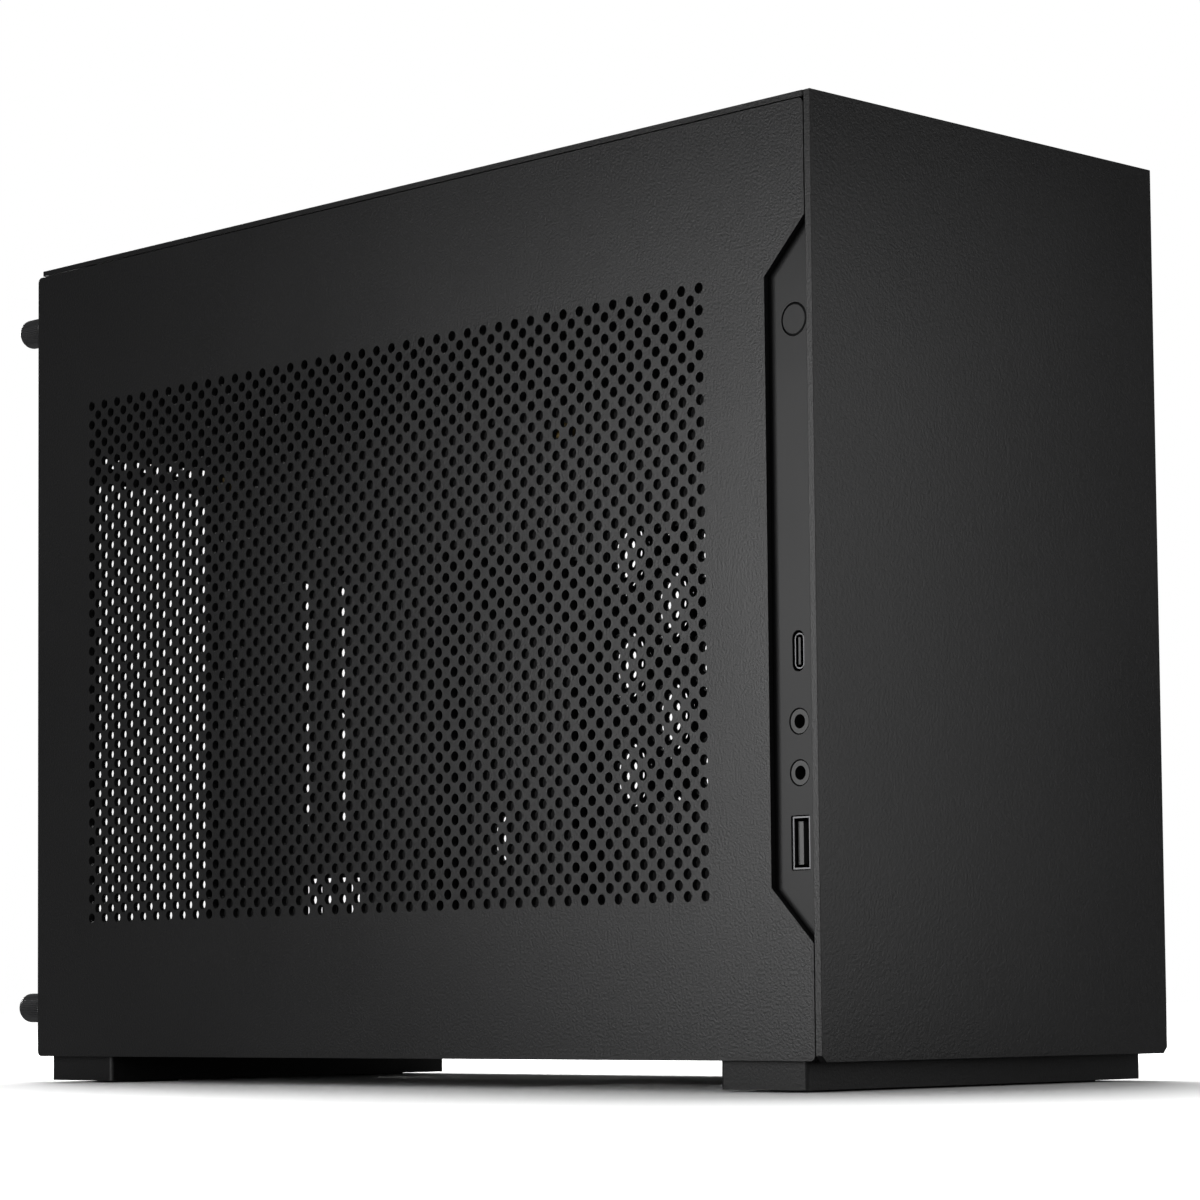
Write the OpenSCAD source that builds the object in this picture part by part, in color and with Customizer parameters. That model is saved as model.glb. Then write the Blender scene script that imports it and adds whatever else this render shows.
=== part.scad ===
// Small computer case for a 170 mm square board, with a centre wall between two chambers.
// X runs across the case and Y from the front to the rear. The feet stand on Z = 0.
// Outlines are drawn as (depth, height) on the sides, (x, height) on the front and rear
// and (x, depth) on floors, with depth measured back from the front face.

/* [Case] */
// Width across the side panels
case_w = 140; // [132:1:150]
// Depth from the front face to the rear edge of the side panels
case_d = 326; // [316:1:340]
// Height of the case without its feet
case_h = 244; // [238:1:256]

/* [Sheets] */
// Thickness of the front panel
front_t = 2.2; // [1.5:0.1:2.4]
// Thickness of the side and top panels
skin_t = 1.5; // [1:0.1:1.8]
// Thickness of the inner sheets
frame_t = 1; // [0.8:0.1:1.2]
// Seam between outer panels
seam = 0.3; // [0.2:0.05:0.5]
// Air between a side panel and the frame behind it
frame_air = 0.6; // [0.4:0.1:1]
// Width of the frame's folded edges
fold_w = 19; // [14:1:22]

/* [Perforation] */
// Diameter of a hole in the side panels
hole_d = 5.8; // [3:0.1:6]
// Distance between holes along a row
hole_pitch_d = 12.6; // [12.6:0.1:16]
// Distance between rows that line up
hole_pitch_h = 11.6; // [11.6:0.1:16]
// Front face to the first column of holes
mesh_front = 39.4; // [36:0.5:60]
// Rear edge to the space behind the last column
mesh_rear = 27; // [26:0.5:60]
// Underside to the lowest row
mesh_low = 42.2; // [38:0.5:60]
// Top to the space above the highest row
mesh_high = 44; // [44:0.5:60]

/* [Port strip] */
// Depth of the cut-out at its rear edge
notch_d = 16.4; // [16:0.1:18]
// Top of the case to the cut-out's upper end
notch_high = 31.6; // [31.6:0.2:36]
// Height of the cut-out's lower end
notch_low = 29.6; // [28.6:0.2:34]
// Thickness of the moulded strip
strip_t = 1.9; // [1.5:0.1:2.4]
// Depth of the row of ports from the front face
port_d = 8.2; // [8:0.1:8.6]
// Diameter of the power button
button_d = 8.4; // [6:0.1:9]
// Travel of the power button
button_travel = 0.8; // [0.4:0.1:1]
// Upper end of the cut-out to the power button
button_drop = 25.7; // [20:0.1:34]
// Height of the large flat port
port_a_h = 54.7; // [52:0.1:57]
// Large flat port to the lower audio socket
jack_low_gap = 17.5; // [14:0.1:20]
// Distance between the audio sockets
jack_gap = 12.9; // [9:0.1:15]
// Upper audio socket to the small oval port
port_c_gap = 17.7; // [14:0.1:20]

/* [Rear] */
// Width of the board's rear opening
io_w = 44.4; // [40:0.1:45]
// Height of the board's rear opening
io_h = 158.8; // [150:0.1:160]
// Height of the lower end of the slot covers
slot_low = 58; // [52:1:66]
// Thread radius of the thumbscrews
thumb_r = 1.75; // [1.5:0.05:2]
// Diameter of a thumbscrew's head
thumb_head_d = 9; // [8:0.1:10]
// Length of a thumbscrew's head
thumb_head_l = 11.7; // [9:0.1:13]
// Thumbscrew axis to the side of the case
thumb_inset = 5.5; // [5.4:0.1:6]
// Top of the case to the upper thumbscrews
thumb_high = 17.5; // [15:0.5:22]
// Height of the lower thumbscrews
thumb_low = 15.2; // [15:0.1:20]

/* [Feet] */
// Height of the feet
foot_h = 7.5; // [6:0.5:12]
// Depth of a foot bar
foot_d = 30; // [24:1:40]
// Distance of the feet from the sides
foot_inset = 2.6; // [2:0.2:6]
// Front face to the front foot
foot_front = 7.4; // [5:0.2:12]
// Rear foot to the rear edge
foot_rear = 4.4; // [4:0.2:12]
// Thickness of the rubber pads that show below the feet
pad_show = 0.6; // [0.4:0.1:1.5]

/* [Inside] */
// Distance of the centre wall from the middle of the case
wall_off = 1.5; // [0:0.5:4]
// Length of the window in the centre wall
window_w = 39; // [30:1:40]
// Height of the window in the centre wall
window_h = 79; // [60:1:90]
// Height of the spacers under the board
spacer_h = 6.35; // [5:0.05:8]
// Hole distance of the board along the depth
board_holes_d = 154.94; // [150:0.01:156]
// Hole distance of the board up the height
board_holes_h = 157.48; // [150:0.01:158]
// Side of the case to the opening in the top frame
rad_edge_w = 18; // [17:0.5:24]
// Front and rear of the case to the opening in the top frame
rad_edge_d = 37; // [34:1:60]
// Hole distance of the power supply up the height
psu_holes_h = 113; // [108:0.1:118]
// Clearance of a fastener in its hole
fit = 0.1; // [0.05:0.01:0.15]

/* [Hidden] */

half_w = case_w / 2;
// The thumbscrews stand out behind, so the middle of the whole length is a little behind
// the middle of the case
thumb_out = thumb_head_l + seam;
y_front = -(case_d + thumb_out) / 2;
skin_x = half_w - skin_t;
frame_x = skin_x - frame_air;
fold_x = frame_x - frame_t;
wall_l = -wall_off;
wall_r = wall_l + frame_t;
// Sheets from front to rear
face_d = front_t;
inner_d = front_t + frame_t;
side_front = front_t + 0.2;
side_rear = case_d - 0.5;
rear_d = side_rear - skin_t - seam;
rear_in = rear_d - frame_t;
fold_rear = rear_in - fold_w;
// Sheets from bottom to top
base_low = 0.6;
base_h = base_low + frame_t;
top_low = case_h - skin_t;
side_low = 0.4;
side_top = top_low - seam;
tray_top = top_low - 2.1;
tray_low = tray_top - frame_t;
face_top = tray_low - 0.2;
col = [0.07, 0.07, 0.075];
inner_col = [0.05, 0.05, 0.055];

function yd(d) = y_front + d;
function zh(h) = foot_h + h;
function arc(cx, cy, r, a0, a1, n = 6) =
  [for (i = [0:n]) [cx + r * cos(a0 + (a1 - a0) * i / n), cy + r * sin(a0 + (a1 - a0) * i / n)]];
function round_box(x0, x1, y0, y1, r) = concat(
  arc(x1 - r, y1 - r, r, 0, 90), arc(x0 + r, y1 - r, r, 90, 180),
  arc(x0 + r, y0 + r, r, 180, 270), arc(x1 - r, y0 + r, r, 270, 360));

// A (depth, height) outline as a sheet from x to x + t
module on_side(x, t) {
  translate([x, y_front, foot_h]) rotate([90, 0, 90]) linear_extrude(t) children();
}
// An (x, height) outline as a sheet from depth d to d + t
module on_front(d, t) {
  translate([0, yd(d + t), foot_h]) rotate([90, 0, 0]) linear_extrude(t) children();
}
// An (x, depth) outline as a sheet from height h to h + t
module on_floor(h, t) {
  translate([0, y_front, zh(h)]) linear_extrude(t) children();
}
module box2(x0, x1, y0, y1) {
  translate([x0, y0]) square([x1 - x0, y1 - y0]);
}
module block(x0, x1, d0, d1, h0, h1) {
  translate([x0, yd(d0), zh(h0)]) cube([x1 - x0, d1 - d0, h1 - h0]);
}
module dot(x, y, r) {
  translate([x, y]) circle(r = r, $fn = 24);
}
// Rods along the three directions, from a point and with a length
module rod_x(x, d, h, r, l) {
  translate([x, yd(d), zh(h)]) rotate([0, 90, 0]) cylinder(r = r, h = l, $fn = 32);
}
module rod_y(x, d, h, r, l) {
  translate([x, yd(d), zh(h)]) rotate([-90, 0, 0]) cylinder(r = r, h = l, $fn = 32);
}
module rod_z(x, d, h, r, l) {
  translate([x, yd(d), zh(h)]) cylinder(r = r, h = l, $fn = 32);
}

// Staggered holes that fill the window from (a0, b0) to (a1, b1)
module hole_field(a0, a1, b0, b1) {
  columns = floor((a1 - a0) / (hole_pitch_d / 2));
  rows = floor((b1 - b0) / hole_pitch_h);
  for (i = [0:columns])
    for (j = [0:rows - i % 2])
      dot(a0 + i * hole_pitch_d / 2, b0 + (j + (i % 2) / 2) * hole_pitch_h, hole_d / 2);
}

// Front panel: a plain plate with bevelled lower corners
bevel = 1.6;
module front_panel() {
  color(col) on_front(0, front_t) polygon([
    [-half_w + bevel, 0], [half_w - bevel, 0], [half_w, bevel],
    [half_w, case_h], [-half_w, case_h], [-half_w, bevel]]);
}

// Side panels: a perforated sheet with a folded rear edge and two hooks at the front
side_r = 1.6;
flange_w = 9.2;
hook_h = 9.5;
hook_in = 0.3;
hook_t = 1;
hook_d = fold_w + front_t + 2;
notch_top = case_h - notch_high;
notch_slope = notch_d - side_front;
strip_low = notch_low - 5.6;
strip_top = notch_top + 5.6;
button_h = notch_top - button_drop;
jack_b_h = port_a_h + jack_low_gap;
jack_a_h = jack_b_h + jack_gap;
port_c_h = jack_a_h + port_c_gap;
thumb_top = case_h - thumb_high;
hook_low = 12.6;
hook_top = strip_top + 0.4;
module side_outline() {
  polygon(round_box(side_front, side_rear, side_low, side_top, side_r));
}
module notch_outline() {
  polygon([
    [side_front - 1, notch_low - 1], [notch_d, notch_low + notch_slope],
    [notch_d, notch_top - notch_slope], [side_front - 1, notch_top + 1]]);
}
module side_mesh() {
  hole_field(mesh_front, case_d - mesh_rear, mesh_low, case_h - mesh_high);
}
// Drawn for the left side
module side_folds() {
  difference() {
    on_front(side_rear - skin_t, skin_t)
      box2(-skin_x - 0.1, -half_w + flange_w, side_low + 4, side_top - 4);
    for (h = [thumb_low, thumb_top])
      rod_y(-half_w + thumb_inset, side_rear - skin_t - 1, h, thumb_r + 0.4, skin_t + 2);
  }
  for (h = [hook_low, hook_top]) {
    block(-skin_x - 0.1, -fold_x + hook_in + hook_t, hook_d, hook_d + hook_t, h, h + hook_h);
    block(-fold_x + hook_in, -fold_x + hook_in + hook_t, hook_d - 8, hook_d + 0.1, h, h + hook_h);
  }
}
module left_side_panel() {
  color(col) {
    on_side(-half_w, skin_t) difference() {
      side_outline();
      notch_outline();
      side_mesh();
    }
    side_folds();
  }
}
module right_side_panel() {
  color(col) {
    on_side(skin_x, skin_t) difference() {
      side_outline();
      side_mesh();
    }
    mirror([1, 0, 0]) side_folds();
  }
}

// Top panel: a perforated plate on four studs that push into clips
top_rear = case_d - 2.8;
stud_r = 2;
stud_x = half_w - 9;
stud_l = 8;
stud_ds = [14, case_d - 15];
module top_panel() {
  color(col) on_floor(top_low, skin_t) difference() {
    box2(-half_w, half_w, face_d + 0.2, top_rear);
    hole_field(-hole_pitch_d * 3, hole_pitch_d * 3.1, mesh_front, case_d - mesh_rear - 2);
  }
}
module at_studs() {
  for (x = [-stud_x, stud_x])
    for (d = stud_ds)
      translate([x, yd(d), 0]) children();
}
module panel_studs() {
  color("silver") at_studs() rotate_extrude($fn = 32) polygon(concat(
    [[0, zh(top_low)], [stud_r + 0.6, zh(top_low)], [stud_r + 0.6, zh(top_low) - 0.8],
     [stud_r * 0.6, zh(top_low) - 0.8]],
    arc(0, zh(top_low - stud_l) + stud_r, stud_r, 50, -90)));
}
clip_l = 6;
module stud_clips() {
  color(inner_col) at_studs() translate([0, 0, zh(tray_low) - clip_l]) difference() {
    cylinder(r = stud_r + 2.5, h = clip_l, $fn = 32);
    translate([0, 0, -1]) cylinder(r = stud_r + 0.3, h = clip_l + 2, $fn = 32);
  }
}

// Front frame: the sheet behind the front panel, with edges folded back
strip_front = inner_d + 0.2;
strip_rear = fold_w;
ear_l = 9;
frame_vents = [for (h = [24:22:case_h - 60]) h];
module front_frame() {
  color(inner_col) {
    on_front(face_d, frame_t) difference() {
      box2(-frame_x, frame_x, base_low, face_top);
      for (h = frame_vents) polygon(round_box(-frame_x + 24, frame_x - 24, h, h + 12, 3));
    }
    on_side(fold_x, frame_t) box2(inner_d - 0.1, fold_w + face_d, base_h + 0.2, face_top);
    on_side(-frame_x, frame_t) difference() {
      box2(inner_d - 0.1, fold_w + face_d, base_h + 0.2, face_top);
      box2(inner_d, fold_w + face_d + 1, strip_low, strip_top);
      for (h = [strip_low - ear_l / 2, strip_top + ear_l / 2]) dot(port_d + 3, h, 1.5 + fit);
    }
  }
}

// Base: a tray with folded sides, slots under the power supply and holes for the foot screws
foot_ds = [foot_front + foot_d / 2, case_d - foot_rear - foot_d / 2];
foot_screw_x = half_w - 18;
foot_screw_r = 1.5;
module at_foot_screws() {
  for (x = [-foot_screw_x, foot_screw_x])
    for (d = foot_ds)
      translate([x, d]) children();
}
base_slots = [for (d = [52:11:118]) d];
rear_slots = [for (d = [170:11:270]) d];
module base_pan() {
  color(inner_col) {
    on_floor(base_low, frame_t) difference() {
      box2(-frame_x, frame_x, strip_front, rear_in - 0.2);
      at_foot_screws() circle(r = foot_screw_r + fit, $fn = 24);
      for (d = base_slots) polygon(round_box(-frame_x + 10, wall_l - 8, d, d + 5, 2.4));
      for (d = rear_slots) polygon(round_box(wall_l + 16, frame_x - 10, d, d + 5, 2.4));
    }
    for (x = [-frame_x, fold_x])
      on_side(x, frame_t) box2(fold_w + face_d + 0.4, fold_rear - 0.4, base_h - 0.1, 12);
  }
}

// Rear sheet: board opening, slot openings, vents and mains inlet hole
io_x0 = wall_l - 3.3 - io_w;
io_top = 179.4;
// Three slots fill the card chamber between the wall and the side panel's folded edge
slot_count = 3;
slot_x0 = wall_r + 2.5;
slot_gap = 2.4;
slot_pitch = (half_w - flange_w + slot_gap - 0.24 - slot_x0) / slot_count;
// Each opening behind a cover starts and ends this far from the slot's edges
slot_open_in = 2.5;
slot_open_out = 3.4;
inlet_x = half_w - 39;
inlet_h = case_h - 32;
inlet_w = 27.6;
inlet_tall = 20;
inlet_holes = 40;
slot_top = io_top + 1;
slot_h = slot_top - slot_low;
slot_screw_h = slot_low + 5;
// Vents below the slots
low_vents = 5;
low_vent_pitch = 5.5;
low_vent_x = half_w - 37;
low_vent_h = slot_low - 20.4;
vent_bar = 1;
function slot_x(i) = slot_x0 + i * slot_pitch;
// Threaded bushes pressed into the rear sheet, clear of its folded sides
bush_r = thumb_inset - (half_w - fold_x) - 0.1;
bush_depth = 2.6;
module rear_panel() {
  color(inner_col) {
    on_front(rear_in, frame_t) difference() {
      box2(-frame_x, frame_x, base_low, face_top);
      box2(io_x0, io_x0 + io_w, io_top - io_h, io_top);
      for (i = [0:slot_count - 1])
        box2(slot_x(i) + slot_open_in, slot_x(i) + slot_pitch - slot_open_out,
          slot_low + 12, io_top);
      for (i = [0:low_vents - 1])
        box2(low_vent_x + i * low_vent_pitch, low_vent_x + (i + 1) * low_vent_pitch - vent_bar,
          low_vent_h, slot_low - 0.8);
      box2(io_x0 + 3, wall_l - 3.5, io_top + 5.1, io_top + 8.1);
      box2(inlet_x - inlet_w / 2, inlet_x + inlet_w / 2, inlet_h - inlet_tall / 2,
        inlet_h + inlet_tall / 2);
      for (s = [-1, 1]) dot(inlet_x + s * inlet_holes / 2, inlet_h, 1.5 + fit);
      for (i = [0:slot_count - 1]) dot(slot_x(i) + 8, slot_screw_h, 1.5 + fit);
      for (h = [thumb_low, thumb_top])
        for (s = [-1, 1]) dot(s * (half_w - thumb_inset), h, bush_r + 0.02);
    }
    for (x = [-frame_x, fold_x])
      on_side(x, frame_t) box2(fold_rear, rear_in + 0.1, base_h + 0.2, face_top);
  }
}
module thread_bushes() {
  color("silver")
    for (h = [thumb_low, thumb_top])
      for (s = [-1, 1])
        difference() {
          rod_y(s * (half_w - thumb_inset), rear_in - bush_depth, h, bush_r, bush_depth + frame_t);
          rod_y(s * (half_w - thumb_inset), rear_in - 5, h, thumb_r + 0.08, 10);
        }
}

// Top frame: the open tray that carries the radiator bracket
rad_open_w = case_w - 2 * rad_edge_w;
rad_open_d = case_d - 2 * rad_edge_d;
bracket_screw_x = rad_open_w / 2 + 4;
bracket_ds = [30, case_d / 2, case_d - 30];
module at_bracket_screws() {
  for (x = [-bracket_screw_x, bracket_screw_x])
    for (d = bracket_ds)
      translate([x, d]) children();
}
module stud_holes() {
  for (x = [-stud_x, stud_x])
    for (d = stud_ds) dot(x, d, stud_r + 0.4);
}
module top_frame() {
  color(inner_col) {
    on_floor(tray_low, frame_t) difference() {
      box2(-frame_x, frame_x, strip_front, rear_in - 0.2);
      polygon(round_box(-rad_open_w / 2, rad_open_w / 2, (case_d - rad_open_d) / 2,
        (case_d + rad_open_d) / 2, 4));
      at_bracket_screws() circle(r = 1.5 + fit, $fn = 24);
      stud_holes();
    }
    for (x = [-frame_x, fold_x])
      on_side(x, frame_t) box2(fold_w + face_d + 0.4, fold_rear - 0.4, tray_low - 11, tray_low + 0.1);
  }
}
bracket_edge = 10;
bracket_slots = [for (d = [rad_edge_d + 7:26:case_d - rad_edge_d - 25]) d];
module radiator_bracket() {
  color(inner_col) on_floor(tray_top, frame_t) difference() {
    polygon(round_box(-bracket_screw_x - 5, bracket_screw_x + 5, 22, case_d - 22, 3));
    polygon(round_box(-rad_open_w / 2 + bracket_edge, rad_open_w / 2 - bracket_edge,
      (case_d - rad_open_d) / 2 + bracket_edge, (case_d + rad_open_d) / 2 - bracket_edge, 4));
    for (s = [-1, 1])
      for (d = bracket_slots)
        polygon(round_box(s * (rad_open_w / 2 - 5) - 1.8, s * (rad_open_w / 2 - 5) + 1.8,
          d, d + 18, 1.7));
    at_bracket_screws() circle(r = 1.5 + fit, $fn = 24);
  }
}
module bracket_screws() {
  color("silver") at_bracket_screws() translate([0, y_front, 0]) {
    translate([0, 0, zh(tray_low) - 2]) cylinder(r = 1.5, h = 2 + 2 * frame_t + 0.1, $fn = 24);
    translate([0, 0, zh(tray_top) + frame_t]) cylinder(r = 2.9, h = 0.8, $fn = 24);
  }
}

// Centre wall: carries the board on its left and the riser's parts on its right
wall_front = fold_w + face_d + 2;
wall_top = io_top + 10.6;
wall_foot = 12;
board_rear = rear_in - 10.2;
board_low = 24;
window_d = rear_in - 218.7;
window_low = 71;
// Two slits, a hole and a lower cut-out for leads, measured from the rear sheet
slit_w = 4.8;
slit_ds = [rear_in - 65.2, rear_in - 47.5];
lead_hole_d = rear_in - 136.7;
lead_cut_d = rear_in - 69.8;
lead_cut_w = 26;
rivet_r = 1.6;
rivet_head = 0.8;
wall_rivets_d = [wall_front + 20, (wall_front + rear_in) / 2, rear_in - 30];
wall_rivets_h = [30, 100, 165];
module at_board_holes() {
  for (d = [board_rear - board_holes_d, board_rear])
    for (h = [board_low, board_low + board_holes_h])
      translate([d, h]) children();
}
module centre_wall() {
  color(inner_col) {
    on_side(wall_l, frame_t) difference() {
      box2(wall_front, rear_in, base_h, wall_top);
      for (d = slit_ds) box2(d, d + slit_w, window_low, window_low + window_h);
      box2(lead_cut_d, lead_cut_d + lead_cut_w, board_low + 12, board_low + 30.5);
      polygon(round_box(lead_hole_d, lead_hole_d + 7, board_low + 32, board_low + 54, 2));
      polygon(round_box(window_d, window_d + window_w, window_low, window_low + window_h, 4));
      for (d = riser_rivets_d) dot(d, wall_top - 4, rivet_r + fit);
    }
    difference() {
      on_floor(base_h, frame_t) box2(wall_r - 0.1, wall_r + wall_foot, wall_front, rear_in - frame_t);
      for (d = wall_rivets_d) rod_z(wall_r + wall_foot / 2, d, base_h - 1, rivet_r + fit, 4);
    }
    difference() {
      on_front(rear_in - frame_t, frame_t) box2(wall_r - 0.1, wall_r + 5, base_h, wall_top);
      for (h = wall_rivets_h) rod_y(wall_r + 2.7, rear_in - 3, h, rivet_r + fit, 4);
    }
  }
}
module board_spacers() {
  color([0.7, 0.6, 0.35]) on_side(wall_l - spacer_h, spacer_h) at_board_holes() difference() {
    circle(r = 2.6, $fn = 6);
    circle(r = 1.3, $fn = 24);
  }
}

// Riser: an angle on the wall, a small board under it and the card's socket, open downwards
riser_rear = rear_in - 42;
riser_l = 98;
riser_w = 13;
riser_board_t = 1.6;
riser_h = wall_top - 9;
riser_front = riser_rear - riser_l;
riser_rivets_d = [riser_front + 8, riser_rear - 8];
riser_screws_d = [riser_front + 2.5, riser_rear - 2.5];
socket_l = 89;
socket_w = 7.6;
socket_h = 11;
socket_x = wall_r + 6;
module riser_bracket() {
  color(inner_col) {
    difference() {
      on_floor(riser_h, frame_t) box2(wall_r, wall_r + riser_w, riser_front, riser_rear);
      for (d = riser_screws_d) rod_z(wall_r + riser_w - 2.5, d, riser_h - 1, 1 + fit, 4);
    }
    on_side(wall_r, frame_t) difference() {
      box2(riser_front, riser_rear, riser_h + frame_t - 0.1, wall_top);
      for (d = riser_rivets_d) dot(d, wall_top - 4, rivet_r + fit);
    }
  }
}
module riser_board() {
  color([0.05, 0.16, 0.08]) on_floor(riser_h - riser_board_t, riser_board_t) difference() {
    box2(wall_r + 0.5, wall_r + riser_w, riser_front, riser_rear);
    for (d = riser_screws_d) dot(wall_r + riser_w - 2.5, d, 1 + fit);
  }
}
module riser_socket() {
  socket_top = riser_h - riser_board_t;
  socket_d = riser_front + (riser_l - socket_l) / 2;
  color(inner_col) difference() {
    block(socket_x - socket_w / 2, socket_x + socket_w / 2, socket_d, socket_d + socket_l,
      socket_top - socket_h, socket_top);
    block(socket_x - 0.9, socket_x + 0.9, socket_d + 3, socket_d + socket_l - 3,
      socket_top - socket_h - 1, socket_top - 3);
  }
}
module riser_screws() {
  color("silver") for (d = riser_screws_d) {
    rod_z(wall_r + riser_w - 2.5, d, riser_h - riser_board_t - 2, 1, 2.1 + riser_board_t + frame_t);
    rod_z(wall_r + riser_w - 2.5, d, riser_h + frame_t, 1.9, 1);
  }
}
module frame_rivets() {
  color("silver") {
    for (d = wall_rivets_d)
      rod_z(wall_r + wall_foot / 2, d, base_h + frame_t, rivet_r + 1, rivet_head);
    for (h = wall_rivets_h)
      rod_y(wall_r + 2.7, rear_in - frame_t - rivet_head, h, rivet_r + 0.6, rivet_head);
    for (d = riser_rivets_d)
      rod_x(wall_r + frame_t, d, wall_top - 4, rivet_r + 0.6, rivet_head);
  }
}

// Power supply bracket: an open frame on the base in front of the board
psu_d = window_d + 42;
psu_top = 142;
psu_x = (wall_l - fold_x) / 2;
psu_mid = (psu_top + base_h) / 2;
psu_holes_w = wall_l + fold_x - 13.9;
psu_open_w = psu_holes_w - 11.5;
psu_open_h = 100;
module psu_bracket() {
  color(inner_col) {
    on_front(psu_d, frame_t) difference() {
      polygon(round_box(-fold_x + 0.4, wall_l - 0.4, base_h, psu_top, 0.8));
      polygon(round_box(psu_x - psu_open_w / 2, psu_x + psu_open_w / 2,
        psu_mid - psu_open_h / 2, psu_mid + psu_open_h / 2, 3));
      for (x = [psu_x - psu_holes_w / 2, psu_x + psu_holes_w / 2])
        for (h = [psu_mid - psu_holes_h / 2, psu_mid + psu_holes_h / 2]) dot(x, h, 1.8);
    }
    on_floor(base_h, frame_t) box2(-fold_x + 4, wall_l - 4, psu_d + frame_t - 0.1, psu_d + 11);
  }
}

// Port strip: a moulded bezel in the front frame's left edge
strip_x0 = -frame_x;
strip_x1 = strip_x0 + strip_t;
boss_l = 12;
board_d0 = port_d + 3.1;
board_t = 1.6;
boss_hs = [port_a_h + 7.1, port_c_h + (button_h - port_c_h) * 0.205, button_h - 18.7];
io_board_x = strip_x1 + 2.2;
c_half = 2;
c_long = 5.2;
a_half = 3.2;
a_long = 6.9;
module strip_holes() {
  dot(port_d, button_h, button_d / 2 + 0.15);
  polygon(round_box(port_d - c_half, port_d + c_half, port_c_h - c_long, port_c_h + c_long, 1.9));
  for (h = [jack_a_h, jack_b_h]) dot(port_d, h, 3.4);
  polygon(round_box(port_d - a_half, port_d + a_half, port_a_h - a_long, port_a_h + a_long, 0.5));
}
module io_strip() {
  color(col) {
    on_side(strip_x0, strip_t) difference() {
      box2(strip_front, strip_rear, strip_low + 0.3, strip_top - 0.3);
      strip_holes();
    }
    on_side(-fold_x + 0.1, 1.5) difference() {
      union() {
        box2(strip_front + 2, port_d + 6, strip_low - ear_l, strip_low + 4);
        box2(strip_front + 2, port_d + 6, strip_top - 4, strip_top + ear_l);
      }
      for (h = [strip_low - ear_l / 2, strip_top + ear_l / 2]) dot(port_d + 3, h, 1.5 + fit);
    }
    for (h = boss_hs)
      difference() {
        block(strip_x1 - 0.1, strip_x1 + boss_l, board_d0 + board_t, board_d0 + board_t + 3, h, h + 7);
        rod_y(strip_x1 + boss_l - 4, board_d0 + board_t - 1, h + 3.5, 1 + fit, 3.5);
      }
  }
}
module io_strip_screws() {
  color("silver") for (h = [strip_low - ear_l / 2, strip_top + ear_l / 2]) {
    rod_x(-frame_x - 0.3, port_d + 3, h, 2.6, 0.3);
    rod_x(-frame_x - 0.1, port_d + 3, h, 1.5, 4);
  }
}
module io_board() {
  color([0.05, 0.16, 0.08]) difference() {
    block(io_board_x, strip_x1 + boss_l + 2, board_d0, board_d0 + board_t,
      port_a_h - 9, button_h + 7);
    for (h = boss_hs) rod_y(strip_x1 + boss_l - 4, board_d0 - 1, h + 3.5, 1 + fit, 4);
  }
}
module io_board_screws() {
  color("silver") for (h = boss_hs) {
    rod_y(strip_x1 + boss_l - 4, board_d0 - 0.9, h + 3.5, 1.8, 0.9);
    rod_y(strip_x1 + boss_l - 4, board_d0 - 0.1, h + 3.5, 1, 3.8);
  }
}

// Power button: a cap with a flange behind the strip, and the switch that it presses
button_stem = 3;
module power_button() {
  color(col) translate([strip_x0, yd(port_d), zh(button_h)]) rotate([0, 90, 0])
    rotate_extrude($fn = 64) polygon([
      [0, -0.1], [button_d / 2 - 0.5, -0.1], [button_d / 2, 0.3],
      [button_d / 2, strip_t + 0.15], [button_d / 2 + 0.6, strip_t + 0.15],
      [button_d / 2 + 0.6, strip_t + 0.9], [1.6, strip_t + 0.9],
      [1.6, strip_t + button_stem], [0, strip_t + button_stem]]);
}
module power_switch() {
  color([0.16, 0.16, 0.17]) {
    rod_x(strip_x1 + button_stem + button_travel + 0.1, port_d, button_h, 1.7, 0.8);
    block(strip_x1 + button_stem + button_travel + 0.8, strip_x1 + boss_l + 1,
      port_d - 3, board_d0, button_h - 3, button_h + 3);
  }
}

// Ports on the board behind the strip
module usb_c_port() {
  color([0.6, 0.6, 0.62]) difference() {
    union() {
      on_side(strip_x0 + 0.5, 9) polygon(round_box(port_d - 1.6, port_d + 1.6,
        port_c_h - 4.5, port_c_h + 4.5, 1.5));
      block(strip_x0 + 4, strip_x0 + 9.5, port_d, board_d0, port_c_h - 4, port_c_h + 4);
    }
    on_side(strip_x0, 7.5) difference() {
      polygon(round_box(port_d - 1.28, port_d + 1.28, port_c_h - 4.17, port_c_h + 4.17, 1.2));
      box2(port_d - 0.35, port_d + 0.35, port_c_h - 3.4, port_c_h + 3.4);
    }
  }
}
module audio_socket(h) {
  color([0.12, 0.12, 0.13]) difference() {
    union() {
      rod_x(strip_x0 + 0.2, port_d, h, 3.05, 4);
      block(strip_x1 + 0.6, strip_x0 + 14, port_d - 3, board_d0, h - 3.1, h + 3.1);
    }
    rod_x(strip_x0 - 1, port_d, h, 1.8, 13.5);
  }
}
module audio_socket_upper() {
  audio_socket(jack_a_h);
}
module audio_socket_lower() {
  audio_socket(jack_b_h);
}
module usb_a_port() {
  color([0.6, 0.6, 0.62]) difference() {
    block(strip_x0 + 0.4, strip_x0 + 14, port_d - 2.9, board_d0, port_a_h - 6.6, port_a_h + 6.6);
    block(strip_x0 - 1, strip_x0 + 12, port_d - 2.5, port_d + 2.5, port_a_h - 6.2, port_a_h + 6.2);
  }
  color([0.8, 0.8, 0.8])
    block(strip_x0 + 1.4, strip_x0 + 12.1, port_d + 0.3, port_d + 2.1, port_a_h - 5.4, port_a_h + 5.4);
}

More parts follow.
